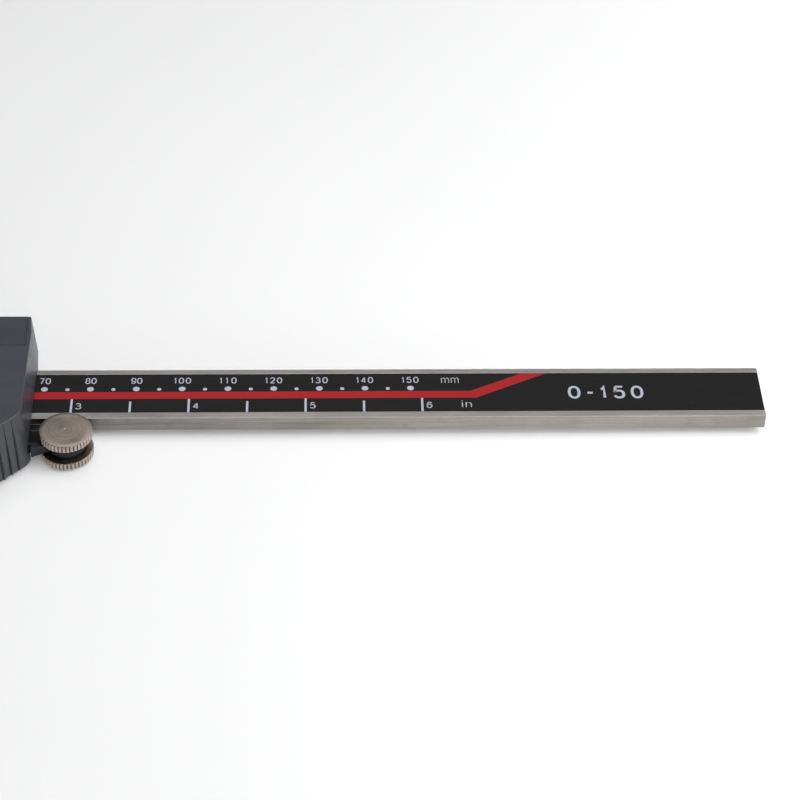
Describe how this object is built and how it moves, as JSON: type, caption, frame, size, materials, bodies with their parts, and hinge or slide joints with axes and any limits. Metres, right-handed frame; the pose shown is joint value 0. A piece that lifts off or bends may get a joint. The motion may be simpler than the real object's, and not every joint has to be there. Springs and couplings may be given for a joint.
{
  "type": "digital caliper",
  "caption": "Digital caliper: steel beam and jaws, sliding display housing with buttons, thumb roller, lock screw and depth rod, for outside, inside, depth and step sizes.",
  "frame": {"origin": "on the slider's flat back face, where the closed measuring plane crosses the beam's centreline", "axes": "+X along the beam from the jaws to its free end, +Y towards the inside jaws, +Z out of the display"},
  "size_m": [0.2376, 0.0726, 0.0157],
  "materials": {
    "beam_steel": "fine lengthwise ground stainless steel",
    "frame_steel": "satin ground stainless steel",
    "plate_steel": "satin",
    "rod_steel": "satin",
    "screw_steel": "bright turned screws",
    "axle_steel": "turned",
    "grating": "glass-epoxy strip with copper grating",
    "scale_film": "black printed film with a red band and pale marks",
    "circuit_board": "green solder mask",
    "chip_resin": "black resin",
    "plated_can": "nickel plated",
    "ceramic": "ceramic",
    "tray_plastic": "white moulded plastic",
    "zebra_rubber": "striped silicone rubber",
    "lcd_glass": "grey-green liquid crystal panel",
    "window_clear": "clear moulded window",
    "holder_plastic": "black moulded plastic",
    "contact_spring": "spring bronze",
    "shell_plastic": "dark blue-grey satin moulded plastic",
    "door_plastic": "dark blue-grey satin moulded plastic",
    "bracket_plastic": "dark blue-grey moulded plastic",
    "button_plastic": "grey moulded plastic",
    "zero_plastic": "red moulded plastic",
    "roller_metal": "turned and knurled, nickel plated",
    "lock_metal": "turned and knurled, nickel plated",
    "washer_nylon": "natural nylon",
    "brass_gib": "drawn brass",
    "wiper_film": "thin translucent film"
  },
  "bodies": {
    "beam": {"main_beam": "beam_steel", "grating_strip": "grating", "scale_overlay": "scale_film", "end_stop": "plate_steel", "end_stop_screws": "screw_steel"},
    "slider": {"slider_frame": "frame_steel", "gib_strip": "brass_gib", "gib_set_screws": "screw_steel", "depth_rod": "rod_steel", "depth_rod_pins": "screw_steel", "sensor_board": "circuit_board", "board_screws": "screw_steel", "readout_chip": "chip_resin", "crystal_can": "plated_can", "chip_capacitors": "ceramic", "display_tray": "tray_plastic", "zebra_strips": "zebra_rubber", "lcd_panel": "lcd_glass", "display_window": "window_clear", "button_cell": "plated_can", "cell_holder": "holder_plastic", "negative_contact": "contact_spring", "positive_contact": "contact_spring", "tact_switches": "holder_plastic", "upper_housing": "shell_plastic", "housing_screws": "screw_steel", "roller_bracket": "bracket_plastic", "bracket_screws": "screw_steel", "dust_wiper": "wiper_film"},
    "door": {"battery_door": "door_plastic"},
    "power": {"power_button": "button_plastic"},
    "unit": {"unit_button": "button_plastic"},
    "zero": {"zero_button": "zero_plastic"},
    "roller": {"roller_upper_disc": "roller_metal", "roller_lower_disc": "roller_metal", "roller_axle": "axle_steel", "roller_washers": "washer_nylon"},
    "lock": {"lock_screw": "lock_metal"},
    "lock_tip": {"lock_pad": "brass_gib"}
  },
  "joints": [
    {"name": "slider_travel", "type": "slide", "parent": "beam", "child": "slider", "axis": [1, 0, 0], "range_m": [0, 0.15]},
    {"name": "roller_spin", "type": "hinge", "parent": "slider", "child": "roller", "pos_m": [0.07583, -0.0138, 0.004], "axis": [0, 0, 1], "range_deg": [-10, 1520]},
    {"name": "lock_turn", "type": "hinge", "parent": "slider", "child": "lock", "pos_m": [0.037, 0.015, 0.00335], "axis": [0, -1, 0], "range_deg": [0, 135]},
    {"name": "lock_tip_push", "type": "slide", "parent": "slider", "child": "lock_tip", "axis": [0, -1, 0], "range_m": [0, 0.00018]},
    {"name": "door_slide", "type": "slide", "parent": "slider", "child": "door", "axis": [0, 1, 0], "range_m": [0, 0.014]},
    {"name": "power_press", "type": "slide", "parent": "slider", "child": "power", "axis": [0, 0, -1], "range_m": [0, 0.00035], "stiffness_N_per_m": 60},
    {"name": "unit_press", "type": "slide", "parent": "slider", "child": "unit", "axis": [0, 0, -1], "range_m": [0, 0.00035], "stiffness_N_per_m": 60},
    {"name": "zero_press", "type": "slide", "parent": "slider", "child": "zero", "axis": [0, 0, -1], "range_m": [0, 0.00035], "stiffness_N_per_m": 150}
  ],
  "couplings": [
    {"joint": "roller_spin", "follows": "slider_travel", "rad_per_m": 175.44},
    {"joint": "lock_turn", "follows": "lock_tip_push", "rad_per_m": 12566}
  ]
}
